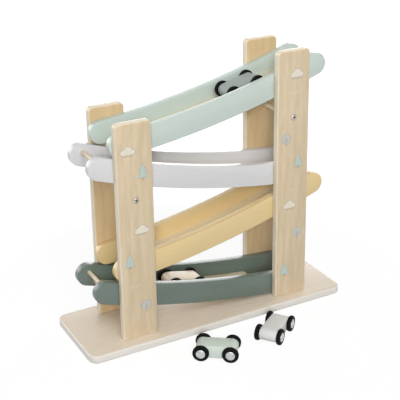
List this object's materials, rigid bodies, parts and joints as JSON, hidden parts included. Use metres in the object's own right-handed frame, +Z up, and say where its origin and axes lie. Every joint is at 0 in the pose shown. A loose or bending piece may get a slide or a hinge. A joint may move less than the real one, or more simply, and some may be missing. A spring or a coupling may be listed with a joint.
{
  "type": "wooden car track",
  "caption": "Wooden toy car track: curved painted tracks zigzag down between posts on a base plate; small flip-over cars roll down them and drop from one to the next.",
  "frame": {"origin": "middle of the base plate's underside", "axes": "+X along the base plate towards the taller posts, +Y away from the viewer, +Z up"},
  "size_m": [0.36, 0.1978, 0.34],
  "materials": {
    "plain_wood": "sanded, clear matt lacquer",
    "base_wood": "sanded, clear matt lacquer",
    "mint_paint": "satin mint paint",
    "white_paint": "satin white paint",
    "yellow_paint": "satin straw-yellow paint",
    "green_paint": "satin dark green paint",
    "sage_paint": "satin grey-green paint",
    "car_wood": "sanded, clear matt lacquer",
    "car_mint_paint": "satin mint paint",
    "car_white_paint": "satin white paint",
    "wheel": "black, matt",
    "steel": "zinc plated"
  },
  "bodies": {
    "track": {"base_plate": "base_wood", "post_front_left": "plain_wood", "post_back_left": "plain_wood", "post_front_right": "plain_wood", "post_back_right": "plain_wood", "rail_1_front": "mint_paint", "rail_1_back": "mint_paint", "rail_2_front": "white_paint", "rail_2_back": "white_paint", "rail_3_front": "yellow_paint", "rail_3_back": "yellow_paint", "rail_4_front": "green_paint", "rail_4_back": "green_paint", "floor_1": "plain_wood", "floor_2": "plain_wood", "floor_3": "plain_wood", "floor_4": "plain_wood", "stop_dowel_1": "plain_wood", "stop_dowel_2": "plain_wood", "stop_dowel_3": "plain_wood", "stop_dowel_4": "plain_wood", "spacer_rod_left": "plain_wood", "spacer_rod_right": "plain_wood", "spacer_screw_front_left": "steel", "spacer_screw_back_left": "steel", "spacer_screw_front_right": "steel", "spacer_screw_back_right": "steel", "base_screw_front_left": "steel", "base_screw_back_left": "steel", "base_screw_front_right": "steel", "base_screw_back_right": "steel"},
    "car_sage": {"car_sage_body": "sage_paint"},
    "car_sage_front": {"car_sage_front_axle": "steel", "car_sage_front_wheel_left": "wheel", "car_sage_front_wheel_right": "wheel"},
    "car_sage_rear": {"car_sage_rear_axle": "steel", "car_sage_rear_wheel_left": "wheel", "car_sage_rear_wheel_right": "wheel"},
    "car_wood": {"car_wood_body": "car_wood"},
    "car_wood_front": {"car_wood_front_axle": "steel", "car_wood_front_wheel_left": "wheel", "car_wood_front_wheel_right": "wheel"},
    "car_wood_rear": {"car_wood_rear_axle": "steel", "car_wood_rear_wheel_left": "wheel", "car_wood_rear_wheel_right": "wheel"},
    "car_mint": {"car_mint_body": "car_mint_paint"},
    "car_mint_front": {"car_mint_front_axle": "steel", "car_mint_front_wheel_left": "wheel", "car_mint_front_wheel_right": "wheel"},
    "car_mint_rear": {"car_mint_rear_axle": "steel", "car_mint_rear_wheel_left": "wheel", "car_mint_rear_wheel_right": "wheel"},
    "car_white": {"car_white_body": "car_white_paint"},
    "car_white_front": {"car_white_front_axle": "steel", "car_white_front_wheel_left": "wheel", "car_white_front_wheel_right": "wheel"},
    "car_white_rear": {"car_white_rear_axle": "steel", "car_white_rear_wheel_left": "wheel", "car_white_rear_wheel_right": "wheel"}
  },
  "joints": [
    {"name": "sage_roll", "type": "hinge", "parent": "track", "child": "car_sage", "pos_m": [-0.224, 0, 1.3652], "axis": [0, -1, 0], "range_deg": [-6, 3.1]},
    {"name": "sage_front_spin", "type": "hinge", "parent": "car_sage", "child": "car_sage_front", "pos_m": [0.07389, 0, 0.29696], "axis": [0, -1, 0], "continuous": true},
    {"name": "sage_rear_spin", "type": "hinge", "parent": "car_sage", "child": "car_sage_rear", "pos_m": [0.03975, 0, 0.28802], "axis": [0, -1, 0], "continuous": true},
    {"name": "wood_roll", "type": "hinge", "parent": "track", "child": "car_wood", "pos_m": [0.192, 0, 1.136], "axis": [0, -1, 0], "range_deg": [-4.4, 4.6]},
    {"name": "wood_front_spin", "type": "hinge", "parent": "car_wood", "child": "car_wood_front", "pos_m": [-0.01368, -0.0042, 0.04624], "axis": [0, -1, 0], "continuous": true},
    {"name": "wood_rear_spin", "type": "hinge", "parent": "car_wood", "child": "car_wood_rear", "pos_m": [-0.04826, -0.0042, 0.05334], "axis": [0, -1, 0], "continuous": true},
    {"name": "mint_roll", "type": "slide", "parent": "track", "child": "car_mint", "axis": [0.808, -0.5892, 0], "range_m": [-0.03, 0.15]},
    {"name": "mint_front_spin", "type": "hinge", "parent": "car_mint", "child": "car_mint_front", "pos_m": [-0.02674, -0.121, 0.0103], "axis": [0.5892, 0.808, 0], "continuous": true},
    {"name": "mint_rear_spin", "type": "hinge", "parent": "car_mint", "child": "car_mint_rear", "pos_m": [-0.05526, -0.1002, 0.0103], "axis": [0.5892, 0.808, 0], "continuous": true},
    {"name": "white_roll", "type": "slide", "parent": "track", "child": "car_white", "axis": [0.8131, 0.5821, 0], "range_m": [0, 0.025]},
    {"name": "white_front_spin", "type": "hinge", "parent": "car_white", "child": "car_white_front", "pos_m": [0.05805, -0.09563, 0.0103], "axis": [-0.5821, 0.8131, 0], "continuous": true},
    {"name": "white_rear_spin", "type": "hinge", "parent": "car_white", "child": "car_white_rear", "pos_m": [0.02935, -0.11617, 0.0103], "axis": [-0.5821, 0.8131, 0], "continuous": true}
  ],
  "couplings": [
    {"joint": "sage_front_spin", "follows": "sage_roll", "ratio": -111.93},
    {"joint": "sage_rear_spin", "follows": "sage_roll", "ratio": -111.93},
    {"joint": "wood_front_spin", "follows": "wood_roll", "ratio": -111.93},
    {"joint": "wood_rear_spin", "follows": "wood_roll", "ratio": -111.93},
    {"joint": "mint_front_spin", "follows": "mint_roll", "rad_per_m": 100},
    {"joint": "mint_rear_spin", "follows": "mint_roll", "rad_per_m": 100},
    {"joint": "white_front_spin", "follows": "white_roll", "rad_per_m": 100},
    {"joint": "white_rear_spin", "follows": "white_roll", "rad_per_m": 100}
  ]
}
